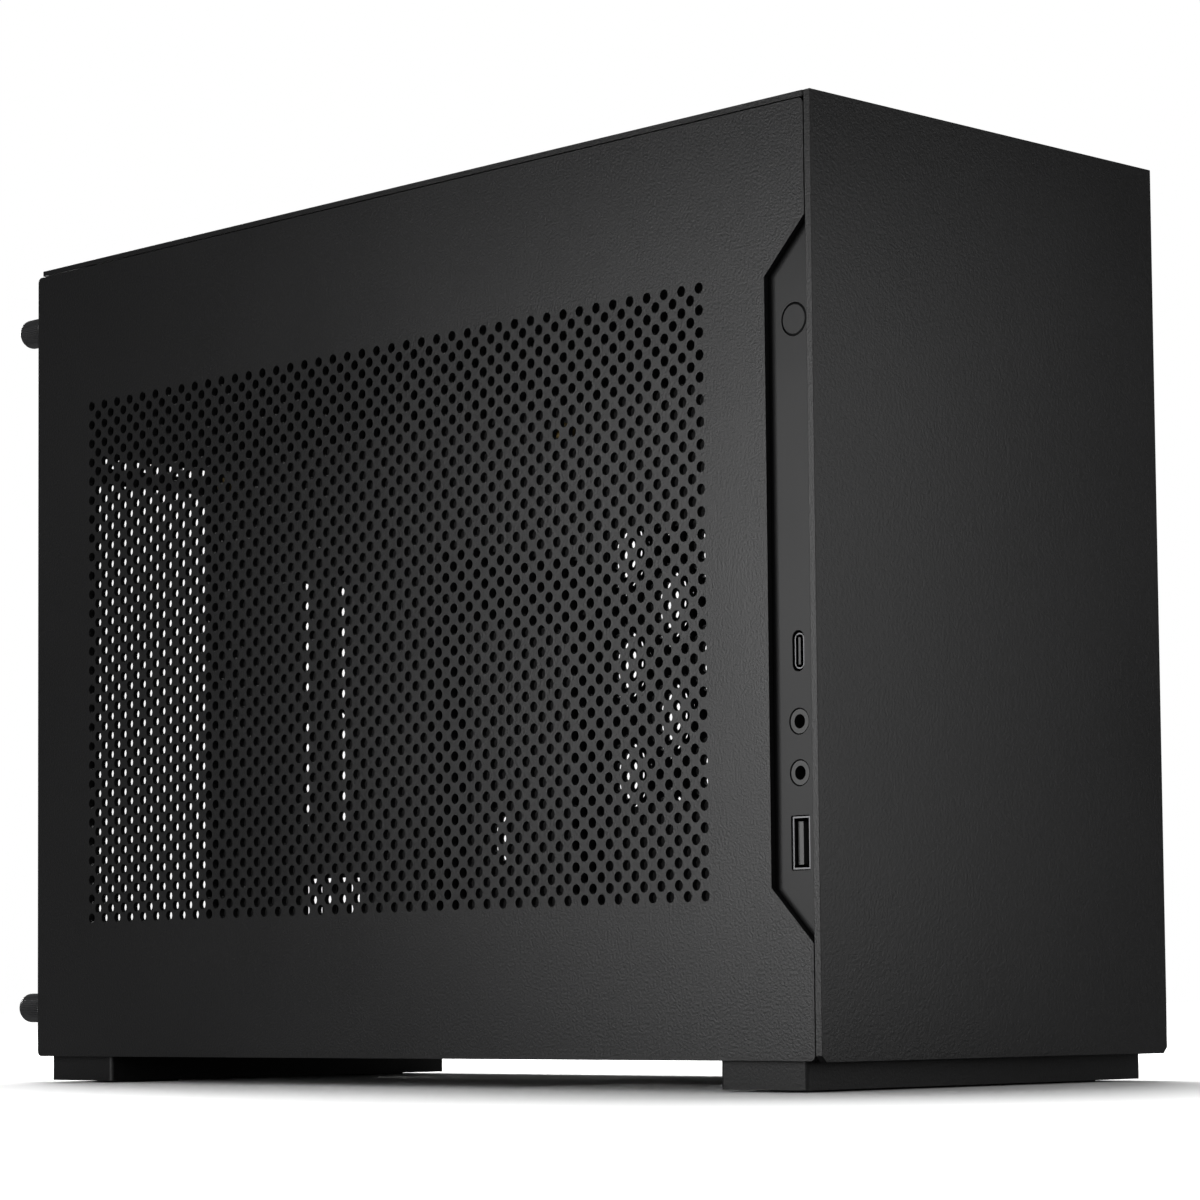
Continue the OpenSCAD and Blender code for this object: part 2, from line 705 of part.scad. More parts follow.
// Feet: two bars across the case with rubber pads let into their undersides
pad_w = 16;
pad_x = half_w - 24;
pad_deep = 1.4;
foot_top = base_low;
foot_r = 1.2;
module foot_bar(d) {
  color(col) difference() {
    translate([0, y_front, pad_show]) linear_extrude(foot_h + foot_top - pad_show)
      polygon(round_box(-half_w + foot_inset, half_w - foot_inset, d - foot_d / 2, d + foot_d / 2,
        foot_r));
    for (x = [-pad_x, pad_x])
      translate([x - pad_w / 2 - fit, yd(d) - foot_d / 2 + 5, 0])
        cube([pad_w + 2 * fit, foot_d - 10, pad_show + pad_deep]);
    for (x = [-foot_screw_x, foot_screw_x])
      translate([x, yd(d), 0]) cylinder(r = foot_screw_r + fit, h = foot_h + 2, $fn = 24);
  }
}
module front_foot() {
  foot_bar(foot_ds[0]);
}
module rear_foot() {
  foot_bar(foot_ds[1]);
}
module foot_pads() {
  color([0.03, 0.03, 0.03]) for (x = [-pad_x, pad_x])
    for (d = foot_ds)
      translate([x - pad_w / 2, yd(d) - foot_d / 2 + 5 + fit, 0])
        cube([pad_w, foot_d - 10 - 2 * fit, pad_show + pad_deep]);
}
module foot_screws() {
  color("silver") at_foot_screws() translate([0, y_front, 0]) {
    translate([0, 0, pad_show + pad_deep]) cylinder(r = foot_screw_r, h = foot_h, $fn = 24);
    translate([0, 0, zh(base_h)]) cylinder(r = 2.8, h = 1.6, $fn = 24);
  }
}

// Thumbscrews that hold the side panels' rear edges
module thumbscrew(s, h) {
  r = thumb_head_d / 2;
  dome = 2.4;
  color([0.12, 0.12, 0.125])
    translate([s * (half_w - thumb_inset), yd(side_rear), zh(h)]) rotate([-90, 0, 0])
      rotate_extrude($fn = 48) polygon(concat(
        [[0, -skin_t - seam - frame_t - 2.6], [thumb_r - 0.5, -skin_t - seam - frame_t - 2.6],
         [thumb_r, -skin_t - seam - frame_t - 2], [thumb_r, 0.1], [r - 1, 0.1], [r - 1, 1.4],
         [r, 1.9]],
        arc(r - dome, thumb_out + 0.5 - dome, dome, 0, 90, 8),
        [[1.8, thumb_out + 0.5], [1.6, thumb_out - 0.3], [0, thumb_out - 0.3]]));
}
module thumbscrew_left_upper() {
  thumbscrew(-1, thumb_top);
}
module thumbscrew_left_lower() {
  thumbscrew(-1, thumb_low);
}
module thumbscrew_right_upper() {
  thumbscrew(1, thumb_top);
}
module thumbscrew_right_lower() {
  thumbscrew(1, thumb_low);
}

// Slot covers: vented blanks on the outside of the rear sheet
cover_t = 0.9;
cover_vents = 2;
cover_vent_x = [7.9, 13.2];
cover_vent_w = 3.6;
cover_vent_low = 16;
cover_vent_top = 22.4;
cover_vent_pitch = (slot_h - cover_vent_low - cover_vent_top) / cover_vents;
cover_bar = 4;
module slot_cover(i) {
  color([0.1, 0.1, 0.105]) on_front(rear_d, cover_t) difference() {
    box2(slot_x(i), slot_x(i) + slot_pitch - slot_gap, slot_low, slot_top);
    for (h = [0:cover_vents - 1], x = cover_vent_x)
      polygon(round_box(slot_x(i) + x, slot_x(i) + x + cover_vent_w,
        slot_low + cover_vent_low + h * cover_vent_pitch,
        slot_low + cover_vent_low + (h + 1) * cover_vent_pitch - cover_bar,
        cover_vent_w / 2 - 0.1));
    dot(slot_x(i) + 8, slot_screw_h, 1.5 + fit);
  }
}
module slot_cover_1() {
  slot_cover(0);
}
module slot_cover_2() {
  slot_cover(1);
}
module slot_cover_3() {
  slot_cover(2);
}
module slot_cover_screws() {
  color("silver") for (i = [0:slot_count - 1]) {
    rod_y(slot_x(i) + 8, rear_d + cover_t, slot_screw_h, 2.9, 1.8);
    rod_y(slot_x(i) + 8, rear_in - 3, slot_screw_h, 1.5, 4 + cover_t + 0.1);
  }
}

// Mains inlet: the shell of a three-pin inlet in the rear sheet
inlet_flange_w = 50;
inlet_flange_h = 24;
inlet_flange_t = 2;
inlet_deep = 18;
mouth_deep = 14;
mouth_w = 24;
mouth_h = 16;
mouth_cut = 5;
pin_gap = 7;
pin_w = 2;
pin_h = 4;
module mouth_outline() {
  polygon([
    [-mouth_w / 2, -mouth_h / 2], [mouth_w / 2, -mouth_h / 2],
    [mouth_w / 2, mouth_h / 2 - mouth_cut], [mouth_w / 2 - mouth_cut, mouth_h / 2],
    [mouth_cut - mouth_w / 2, mouth_h / 2], [-mouth_w / 2, mouth_h / 2 - mouth_cut]]);
}
module mains_inlet() {
  color([0.06, 0.06, 0.065]) difference() {
    union() {
      on_front(rear_d, inlet_flange_t) difference() {
        polygon(round_box(inlet_x - inlet_flange_w / 2, inlet_x + inlet_flange_w / 2,
          inlet_h - inlet_flange_h / 2, inlet_h + inlet_flange_h / 2, 5));
        for (s = [-1, 1]) dot(inlet_x + s * inlet_holes / 2, inlet_h, 1.5 + fit);
      }
      on_front(rear_in - inlet_deep, inlet_deep + frame_t + 0.1)
        box2(inlet_x - inlet_w / 2 + 0.3, inlet_x + inlet_w / 2 - 0.3,
          inlet_h - inlet_tall / 2 + 0.3, inlet_h + inlet_tall / 2 - 0.3);
    }
    on_front(rear_in - mouth_deep, mouth_deep + 6) translate([inlet_x, inlet_h]) mouth_outline();
  }
  color("silver") for (k = [-1:1]) {
    pin_x = inlet_x + k * pin_gap;
    pin_mid = inlet_h + (k == 0 ? 3 : 0);
    block(pin_x - pin_w / 2, pin_x + pin_w / 2, rear_in - mouth_deep - 0.1, rear_in - 1,
      pin_mid - pin_h / 2, pin_mid + pin_h / 2);
  }
}
module inlet_screws() {
  color("silver") for (s = [-1, 1]) {
    rod_y(inlet_x + s * inlet_holes / 2, rear_d + inlet_flange_t, inlet_h, 2.8, 1.6);
    rod_y(inlet_x + s * inlet_holes / 2, rear_in - 3, inlet_h, 1.5, 3.1 + frame_t + inlet_flange_t);
  }
}

front_panel();
left_side_panel();
right_side_panel();
top_panel();
panel_studs();
front_frame();
base_pan();
rear_panel();
top_frame();
radiator_bracket();
centre_wall();
board_spacers();
psu_bracket();
riser_bracket();
riser_board();
riser_socket();
riser_screws();
thread_bushes();
frame_rivets();
stud_clips();
bracket_screws();
io_strip();
io_strip_screws();
io_board();
io_board_screws();
power_button();
power_switch();
usb_c_port();
audio_socket_upper();
audio_socket_lower();
usb_a_port();
front_foot();
rear_foot();
foot_pads();
foot_screws();
thumbscrew_left_upper();
thumbscrew_left_lower();
thumbscrew_right_upper();
thumbscrew_right_lower();
slot_cover_1();
slot_cover_2();
slot_cover_3();
slot_cover_screws();
mains_inlet();
inlet_screws();
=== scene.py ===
import math

import bmesh
import bpy
from mathutils import Matrix, Vector


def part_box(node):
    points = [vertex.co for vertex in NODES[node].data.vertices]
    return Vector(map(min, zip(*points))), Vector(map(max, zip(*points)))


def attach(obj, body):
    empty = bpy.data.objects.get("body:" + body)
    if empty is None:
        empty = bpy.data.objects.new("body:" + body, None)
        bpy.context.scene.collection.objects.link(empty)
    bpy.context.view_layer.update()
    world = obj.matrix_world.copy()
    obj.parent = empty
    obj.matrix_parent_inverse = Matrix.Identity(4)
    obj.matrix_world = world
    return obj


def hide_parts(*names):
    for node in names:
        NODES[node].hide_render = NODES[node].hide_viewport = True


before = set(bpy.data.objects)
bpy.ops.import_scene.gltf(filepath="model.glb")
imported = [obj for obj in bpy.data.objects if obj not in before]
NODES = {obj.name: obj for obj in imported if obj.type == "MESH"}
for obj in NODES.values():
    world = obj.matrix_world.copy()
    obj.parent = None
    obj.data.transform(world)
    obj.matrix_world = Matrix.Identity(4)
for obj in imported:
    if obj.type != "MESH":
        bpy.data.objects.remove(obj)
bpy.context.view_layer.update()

bl_info = {
    "name": "Small computer case",
    "version": (1, 0, 0),
    "blender": (4, 5, 0),
    "location": "View3D > Sidebar > Case",
    "description": "Perforated panels, ports, screws, finishes and stage of a small computer case",
    "category": "Object",
}

MM = 0.001
# The case's front face, its underside, its half width and its top
FRONT_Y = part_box("front_panel")[0].y
UNDER_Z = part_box("front_panel")[0].z
HALF_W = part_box("front_panel")[1].x
CASE_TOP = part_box("front_panel")[1].z
# From the front face to the line of the ports
PORT_LINE = (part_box("power_button")[0].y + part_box("power_button")[1].y) / 2 - FRONT_Y


# ---- Sizes and colours


class CasePanels(bpy.types.PropertyGroup):
    hole_d: bpy.props.FloatProperty(
        name="Hole diameter", description="Diameter of a punched hole",
        default=2.95 * MM, unit="LENGTH", precision=5)
    column_gap: bpy.props.FloatProperty(
        name="Column spacing", description="Distance between two columns of holes",
        default=3.1525 * MM, unit="LENGTH", precision=6)
    row_gap: bpy.props.FloatProperty(
        name="Row spacing", description="Distance between two holes of a column",
        default=5.797 * MM, unit="LENGTH", precision=6)
    columns: bpy.props.IntProperty(
        name="Column pairs", description="Pairs of columns on a side panel, before the last one",
        default=41)
    rows: bpy.props.IntProperty(
        name="Rows", description="Holes in the longer columns of a side panel", default=28)
    first_column: bpy.props.FloatProperty(
        name="First column", description="From the front face to the first column",
        default=39.4 * MM, unit="LENGTH", precision=5)
    first_row: bpy.props.FloatProperty(
        name="Lowest row", description="From the underside to the lowest row",
        default=42.2 * MM, unit="LENGTH", precision=5)
    edge_round: bpy.props.FloatProperty(
        name="Edge rounding", description="Rounding of the panels' outer edges",
        default=0.15 * MM, unit="LENGTH", precision=5)


class CaseFinish(bpy.types.PropertyGroup):
    panel_colour: bpy.props.FloatVectorProperty(
        name="Panels", description="Colour of the outer panels", subtype="COLOR",
        default=(0.008, 0.008, 0.0083))
    strip_colour: bpy.props.FloatVectorProperty(
        name="Port strip", description="Colour of the moulded strip", subtype="COLOR",
        default=(0.012, 0.012, 0.0125))
    frame_colour: bpy.props.FloatVectorProperty(
        name="Frame", description="Colour of the inner sheets", subtype="COLOR",
        default=(0.02, 0.02, 0.02))
    metal_colour: bpy.props.FloatVectorProperty(
        name="Plated metal", description="Colour of screws and port shells", subtype="COLOR",
        default=(0.48, 0.48, 0.5))


class CaseStage(bpy.types.PropertyGroup):
    floor_colour: bpy.props.FloatVectorProperty(
        name="Floor", description="Colour of the floor", subtype="COLOR",
        default=(0.82, 0.82, 0.82))
    key_power: bpy.props.FloatProperty(
        name="High lamp", description="Power of the large lamp above", default=50, unit="POWER")
    rear_power: bpy.props.FloatProperty(
        name="Rear lamp", description="Power of the lamp behind the case", default=8, unit="POWER")
    side_power: bpy.props.FloatProperty(
        name="Side lamp", description="Power of the small lamp that the side reflects",
        default=1.3, unit="POWER")
    front_power: bpy.props.FloatProperty(
        name="Front lamp", description="Power of the small lamp that the front reflects",
        default=0.38, unit="POWER")


# ---- Node helpers


def new_nodes(name):
    """A material with an empty node tree, its output and a Principled shader."""
    material = bpy.data.materials.new(name)
    material.use_nodes = True
    tree = material.node_tree
    tree.nodes.clear()
    output = tree.nodes.new("ShaderNodeOutputMaterial")
    shader = tree.nodes.new("ShaderNodeBsdfPrincipled")
    tree.links.new(shader.outputs["BSDF"], output.inputs["Surface"])
    return material, tree, shader


def grain_group():
    """Fine grain on Object coordinates: a mask, a slow mask and a bumped normal."""
    if "Surface Grain" in bpy.data.node_groups:
        return bpy.data.node_groups["Surface Grain"]
    group = bpy.data.node_groups.new("Surface Grain", "ShaderNodeTree")
    face = group.interface
    for name, value in (("Scale", 2600.0), ("Depth", 0.2), ("Distance", 0.0001)):
        face.new_socket(name, in_out="INPUT", socket_type="NodeSocketFloat").default_value = value
    face.new_socket("Speck", in_out="OUTPUT", socket_type="NodeSocketFloat")
    face.new_socket("Cloud", in_out="OUTPUT", socket_type="NodeSocketFloat")
    face.new_socket("Normal", in_out="OUTPUT", socket_type="NodeSocketVector")
    new, link = group.nodes.new, group.links.new
    inputs, outputs = new("NodeGroupInput"), new("NodeGroupOutput")
    place = new("ShaderNodeTexCoord")
    fine, cloud = new("ShaderNodeTexNoise"), new("ShaderNodeTexNoise")
    fine.inputs["Detail"].default_value = 3
    fine.inputs["Roughness"].default_value = 0.6
    cloud.inputs["Scale"].default_value = 14
    cloud.inputs["Detail"].default_value = 2
    bump = new("ShaderNodeBump")
    link(place.outputs["Object"], fine.inputs["Vector"])
    link(place.outputs["Object"], cloud.inputs["Vector"])
    link(inputs.outputs["Scale"], fine.inputs["Scale"])
    link(fine.outputs["Fac"], bump.inputs["Height"])
    link(inputs.outputs["Depth"], bump.inputs["Strength"])
    link(inputs.outputs["Distance"], bump.inputs["Distance"])
    link(fine.outputs["Fac"], outputs.inputs["Speck"])
    link(cloud.outputs["Fac"], outputs.inputs["Cloud"])
    link(bump.outputs["Normal"], outputs.inputs["Normal"])
    return group


def add_grain(tree, scale, depth, distance):
    grain = tree.nodes.new("ShaderNodeGroup")
    grain.node_tree = grain_group()
    grain.inputs["Scale"].default_value = scale
    grain.inputs["Depth"].default_value = depth
    grain.inputs["Distance"].default_value = distance
    return grain


def spread(tree, mask, low, high, into):
    """Maps a mask's usual stretch onto low..high and feeds a socket."""
    remap = tree.nodes.new("ShaderNodeMapRange")
    remap.inputs["From Min"].default_value = 0.3
    remap.inputs["From Max"].default_value = 0.7
    remap.inputs["To Min"].default_value = low
    remap.inputs["To Max"].default_value = high
    tree.links.new(mask, remap.inputs["Value"])
    tree.links.new(remap.outputs["Result"], into)


def tint(tree, mask, dark, light, into):
    """Blends two colours by a mask and feeds a colour socket."""
    ramp = tree.nodes.new("ShaderNodeValToRGB")
    ramp.color_ramp.elements[0].position = 0.3
    ramp.color_ramp.elements[0].color = (*dark, 1)
    ramp.color_ramp.elements[1].position = 0.7
    ramp.color_ramp.elements[1].color = (*light, 1)
    tree.links.new(mask, ramp.inputs["Fac"])
    tree.links.new(ramp.outputs["Color"], into)


def coated(name, colour, rough, grain_scale=2600, depth=0.2, distance=0.1 * MM,
           contrast=0.25, metallic=0.0, specular=0.5):
    """A coated or moulded finish with fine grain, made once and shared."""
    if name in bpy.data.materials:
        return bpy.data.materials[name]
    material, tree, shader = new_nodes(name)
    grain = add_grain(tree, grain_scale, depth, distance)
    dark = [c * (1 - contrast) for c in colour]
    light = [c * (1 + contrast) for c in colour]
    tint(tree, grain.outputs["Speck"], dark, light, shader.inputs["Base Color"])
    spread(tree, grain.outputs["Cloud"], rough - 0.03, rough + 0.03, shader.inputs["Roughness"])
    tree.links.new(grain.outputs["Normal"], shader.inputs["Normal"])
    shader.inputs["Metallic"].default_value = metallic
    shader.inputs["Specular IOR Level"].default_value = specular
    return material


def panel_coat():
    colour = bpy.context.scene.case_finish.panel_colour
    return coated("Anodised panel", colour, 0.35, 1500, 0.7, 0.17 * MM, 0.4, specular=0.41)


def strip_plastic():
    colour = bpy.context.scene.case_finish.strip_colour
    return coated("Moulded strip", colour, 0.38, 3200, 0.08, 0.05 * MM, 0.1, specular=0.27)


def frame_coat():
    colour = bpy.context.scene.case_finish.frame_colour
    return coated("Powder coat", colour, 0.55, 1800, 0.3, 0.08 * MM, 0.2, specular=0.3)


def screw_black():
    return coated("Black screw", (0.025, 0.025, 0.026), 0.28, 2400, 0.12, 0.05 * MM, 0.2,
                  specular=0.8)


def foot_coat():
    colour = bpy.context.scene.case_finish.panel_colour
    return coated("Coated foot", colour, 0.42, 1500, 0.6, 0.12 * MM, 0.4, specular=0.3)


def port_shell(name, node, reach, tongue):
    """Dark nickel, and plastic for the tongue that lies within reach of the port's middle."""
    if name in bpy.data.materials:
        return bpy.data.materials[name]
    low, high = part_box(node)
    material, tree, shader = new_nodes(name)
    place = tree.nodes.new("ShaderNodeTexCoord")
    offset = tree.nodes.new("ShaderNodeVectorMath")
    offset.operation = "SUBTRACT"
    offset.inputs[1].default_value = (0, FRONT_Y + PORT_LINE, (low.z + high.z) / 2)
    size = tree.nodes.new("ShaderNodeVectorMath")
    size.operation = "ABSOLUTE"
    split = tree.nodes.new("ShaderNodeSeparateXYZ")
    both = tree.nodes.new("ShaderNodeMath")
    both.operation = "MULTIPLY"
    tree.links.new(place.outputs["Object"], offset.inputs[0])
    tree.links.new(offset.outputs["Vector"], size.inputs[0])
    tree.links.new(size.outputs["Vector"], split.inputs["Vector"])
    for socket, limit, into in (("Y", reach[0], 0), ("Z", reach[1], 1)):
        within = tree.nodes.new("ShaderNodeMath")
        within.operation = "LESS_THAN"
        within.inputs[1].default_value = limit
        tree.links.new(split.outputs[socket], within.inputs[0])
        tree.links.new(within.outputs["Value"], both.inputs[into])
    tint(tree, both.outputs["Value"], (0.1, 0.1, 0.103), tongue, shader.inputs["Base Color"])
    spread(tree, both.outputs["Value"], 1, 0, shader.inputs["Metallic"])
    grain = add_grain(tree, 1200, 0.06, 0.05 * MM)
    spread(tree, grain.outputs["Cloud"], 0.3, 0.36, shader.inputs["Roughness"])
    tree.links.new(grain.outputs["Normal"], shader.inputs["Normal"])
    return material


def small_port():
    return port_shell("Small port", "usb_c_port", (1.2 * MM, 4.1 * MM), (0.002, 0.002, 0.002))


def large_port():
    return port_shell("Large port", "usb_a_port", (2.4 * MM, 6.1 * MM), (0.05, 0.05, 0.05))


def black_plastic():
    return coated("Black plastic", (0.012, 0.012, 0.012), 0.4, 2800, 0.1, 0.05 * MM, 0.15)


def rubber():
    return coated("Rubber", (0.012, 0.012, 0.012), 0.8, 1600, 0.3, 0.1 * MM, 0.2)


def plated():
    colour = bpy.context.scene.case_finish.metal_colour
    return coated("Plated metal", colour, 0.3, 900, 0.08, 0.05 * MM, 0.08, 1.0)


def gold():
    return coated("Gilt contact", (0.72, 0.5, 0.18), 0.28, 900, 0.06, 0.05 * MM, 0.06, 1.0)


def brass():
    return coated("Turned brass", (0.6, 0.43, 0.17), 0.33, 900, 0.1, 0.05 * MM, 0.1, 1.0)


def circuit_board():
    """Solder mask with fine copper tracks that show as paler lines."""
    name = "Solder mask"
    if name in bpy.data.materials:
        return bpy.data.materials[name]
    material, tree, shader = new_nodes(name)
    place = tree.nodes.new("ShaderNodeTexCoord")
    tracks = tree.nodes.new("ShaderNodeTexBrick")
    tracks.inputs["Scale"].default_value = 260
    tracks.inputs["Mortar Size"].default_value = 0.012
    tracks.inputs["Color1"].default_value = (0.006, 0.03, 0.016, 1)
    tracks.inputs["Color2"].default_value = (0.008, 0.035, 0.018, 1)
    tracks.inputs["Mortar"].default_value = (0.02, 0.07, 0.035, 1)
    grain = add_grain(tree, 1200, 0.05, 0.05 * MM)
    tree.links.new(place.outputs["Object"], tracks.inputs["Vector"])
    tree.links.new(tracks.outputs["Color"], shader.inputs["Base Color"])
    spread(tree, grain.outputs["Cloud"], 0.28, 0.36, shader.inputs["Roughness"])
    tree.links.new(grain.outputs["Normal"], shader.inputs["Normal"])
    return material


# ---- Mesh helpers. Shapes are drawn flat in local X and Y and given their thickness in Z.


# Local X, Y and Z of a flat shape on a side, on the front and on a floor
ON_SIDE = Matrix(((0, 0, 1, 0), (1, 0, 0, 0), (0, 1, 0, 0), (0, 0, 0, 1)))
ON_FRONT = Matrix(((1, 0, 0, 0), (0, 0, 1, 0), (0, 1, 0, 0), (0, 0, 0, 1)))
ON_FLOOR = Matrix.Identity(4)


def arc(cx, cy, radius, start, end, steps=6):
    """Points of an arc, with angles in degrees."""
    angles = [math.radians(start + (end - start) * i / steps) for i in range(steps + 1)]
    return [(cx + radius * math.cos(a), cy + radius * math.sin(a)) for a in angles]


def round_box(x0, x1, y0, y1, r, steps=6):
    return (arc(x1 - r, y1 - r, r, 0, 90, steps) + arc(x0 + r, y1 - r, r, 90, 180, steps)
            + arc(x0 + r, y0 + r, r, 180, 270, steps) + arc(x1 - r, y0 + r, r, 270, 360, steps))


def ring_of_edges(bm, points):
    """A closed loop of edges through a few points in the drawing plane."""
    verts = [bm.verts.new((x, y, 0)) for x, y in points]
    return [bm.edges.new(pair) for pair in zip(verts, verts[1:] + verts[:1])]


def circle_edges(bm, x, y, radius, sides):
    made = bmesh.ops.create_circle(bm, segments=sides, radius=radius,
                                   matrix=Matrix.Translation((x, y, 0)))
    return list({e for v in made["verts"] for e in v.link_edges})


def inner_rim(bm, points, width):
    """A rim of quads inside an outline; gives the edges of its inner side."""
    face = bm.faces.new([bm.verts.new((x, y, 0)) for x, y in points])
    bmesh.ops.inset_region(bm, faces=[face], thickness=width, use_even_offset=True)
    edges = list(face.edges)
    bmesh.ops.delete(bm, geom=[face], context="FACES_ONLY")
    return edges


def thicken(bm, thickness):
    """Gives a flat sheet its thickness towards local +Z."""
    made = bmesh.ops.extrude_face_region(bm, geom=bm.faces[:], use_keep_orig=True)
    verts = [g for g in made["geom"] if isinstance(g, bmesh.types.BMVert)]
    bmesh.ops.translate(bm, vec=(0, 0, thickness), verts=verts)
    bmesh.ops.recalc_face_normals(bm, faces=bm.faces[:])


def round_edges(bm, offset, keep=lambda edge: True, segments=2):
    sharp = [e for e in bm.edges
             if len(e.link_faces) == 2 and e.calc_face_angle() > math.radians(40) and keep(e)]
    bmesh.ops.bevel(bm, geom=sharp, offset=offset, offset_type="OFFSET", segments=segments,
                    profile=0.5, affect="EDGES", material=-1, clamp_overlap=True)


def add_box(bm, low, high):
    low, high = Vector(low), Vector(high)
    made = bmesh.ops.create_cube(bm, size=1)
    bmesh.ops.scale(bm, vec=high - low, verts=made["verts"])
    bmesh.ops.translate(bm, vec=(low + high) / 2, verts=made["verts"])
    return made["verts"]


def join(bm, other):
    """Adds another bmesh to this one and frees it."""
    mesh = bpy.data.meshes.new("joined")
    other.to_mesh(mesh)
    other.free()
    bm.from_mesh(mesh)
    bpy.data.meshes.remove(mesh)


def finish_piece(bm, name, material, body, replaces=(), smooth=None):
    """Turns a bmesh into an object that rides on a body and stands for CAD nodes."""
    bmesh.ops.recalc_face_normals(bm, faces=bm.faces[:])
    mesh = bpy.data.meshes.new(name)
    bm.to_mesh(mesh)
    bm.free()
    piece = bpy.data.objects.new(name, mesh)
    bpy.context.scene.collection.objects.link(piece)
    piece.data.materials.append(material)
    if smooth is not None:
        mesh.shade_smooth()
        mesh.set_sharp_from_angle(angle=math.radians(smooth))
    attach(piece, body)
    if replaces:
        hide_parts(*replaces)
    return piece


# ---- Perforated sheets


def hole_cell(bm, column_gap, row_gap, radius):
    """One hole in its cell. The cell's upright sides have a vertex half way up."""
    grid = bmesh.ops.create_grid(bm, x_segments=1, y_segments=2, size=0.5)
    bmesh.ops.scale(bm, vec=(column_gap, row_gap, 1), verts=grid["verts"])
    bmesh.ops.delete(bm, geom=bm.faces[:], context="FACES_ONLY")
    middle = [e for e in bm.edges if all(abs(v.co.y) < row_gap * 0.1 for v in e.verts)]
    for edge in middle:
        bm.edges.remove(edge)
    circle_edges(bm, 0, 0, radius, 12)
    bmesh.ops.triangle_fill(bm, use_beauty=True, use_dissolve=False, edges=bm.edges[:])


def repeat(bm, geom, count, step):
    """Adds count - 1 shifted copies of the geometry and gives the whole row."""
    row = list(geom)
    for i in range(1, count):
        made = bmesh.ops.duplicate(bm, geom=geom)["geom"]
        verts = [g for g in made if isinstance(g, bmesh.types.BMVert)]
        bmesh.ops.translate(bm, vec=Vector(step) * i, verts=verts)
        row += made
    return row


def everything(bm):
    return bm.verts[:] + bm.edges[:] + bm.faces[:]


def hole_field(bm, column_gap, row_gap, radius, pairs, rows):
    """Staggered holes: pairs of a full and a shorter column, and one more full column.
    The first hole is at the origin. Gives the edges round the field."""
    hole_cell(bm, column_gap, row_gap, radius)
    cell = everything(bm)
    full = repeat(bm, cell, rows, (0, row_gap, 0))
    made = bmesh.ops.duplicate(bm, geom=cell)["geom"]
    verts = [g for g in made if isinstance(g, bmesh.types.BMVert)]
    bmesh.ops.translate(bm, vec=(column_gap, row_gap / 2, 0), verts=verts)
    short = repeat(bm, made, rows - 1, (0, row_gap, 0))
    for y in (-row_gap / 4, (rows - 0.75) * row_gap):
        end = bmesh.ops.create_grid(bm, x_segments=1, y_segments=1, size=0.5)["verts"]
        bmesh.ops.scale(bm, vec=(column_gap, row_gap / 2, 1), verts=end)
        bmesh.ops.translate(bm, vec=(column_gap, y, 0), verts=end)
        short += list({g for v in end for g in (v, *v.link_edges, *v.link_faces)})
    both = list(dict.fromkeys(full + short))
    repeat(bm, both, pairs, (2 * column_gap, 0, 0))
    made = bmesh.ops.duplicate(bm, geom=list(dict.fromkeys(full)))["geom"]
    verts = [g for g in made if isinstance(g, bmesh.types.BMVert)]
    bmesh.ops.translate(bm, vec=(2 * column_gap * pairs, 0, 0), verts=verts)
    bmesh.ops.remove_doubles(bm, verts=bm.verts[:], dist=column_gap * 0.01)
    return [e for e in bm.edges if e.is_boundary and e.calc_length() > radius]


def perforated(outline, origin, pairs, rows, thickness, edge_round):
    """A sheet with a hole field whose first hole is at the origin given."""
    sizes = bpy.context.scene.case_panels
    bm = bmesh.new()
    inner = hole_field(bm, sizes.column_gap, sizes.row_gap, sizes.hole_d / 2, pairs, rows)
    bmesh.ops.translate(bm, vec=(*origin, 0), verts=bm.verts[:])
    low = Vector(min(v.co[i] for v in bm.verts) for i in range(2))
    high = Vector(max(v.co[i] for v in bm.verts) for i in range(2))
    outer = inner_rim(bm, outline, 1.2 * MM)
    made = bmesh.ops.triangle_fill(bm, use_beauty=True, use_dissolve=False, edges=inner + outer)
    thicken(bm, thickness)
    margin = 0.3 * MM

    def outside(edge):
        return any(v.co.x < low.x - margin or v.co.x > high.x + margin
                   or v.co.y < low.y - margin or v.co.y > high.y + margin for v in edge.verts)

    round_edges(bm, edge_round, outside)
    return bm


SIDE_FRONT = 2.4 * MM
SIDE_REAR = 325.5 * MM
SIDE_LOW = 0.4 * MM
SIDE_HIGH = 242.2 * MM
SIDE_ROUND = 1.6 * MM
NOTCH_DEPTH = 16.4 * MM
NOTCH_LOW = 29.6 * MM
NOTCH_HIGH = 212.4 * MM
SKIN = 1.5 * MM
FOLD_WIDTH = 9.2 * MM
SCREW_HOLE = 4.3 * MM


def side_outline(notched):
    """Outline of a side panel in depth and height, with the cut-out for the ports if notched."""
    corners = round_box(SIDE_FRONT, SIDE_REAR, SIDE_LOW, SIDE_HIGH, SIDE_ROUND)
    if not notched:
        return corners
    slope = NOTCH_DEPTH - SIDE_FRONT
    notch = [(SIDE_FRONT, NOTCH_HIGH), (NOTCH_DEPTH, NOTCH_HIGH - slope),
             (NOTCH_DEPTH, NOTCH_LOW + slope), (SIDE_FRONT, NOTCH_LOW)]
    upper = [p for p in corners if p[1] > CASE_TOP / 2]
    lower = [p for p in corners if p[1] < CASE_TOP / 2]
    return upper + notch + lower


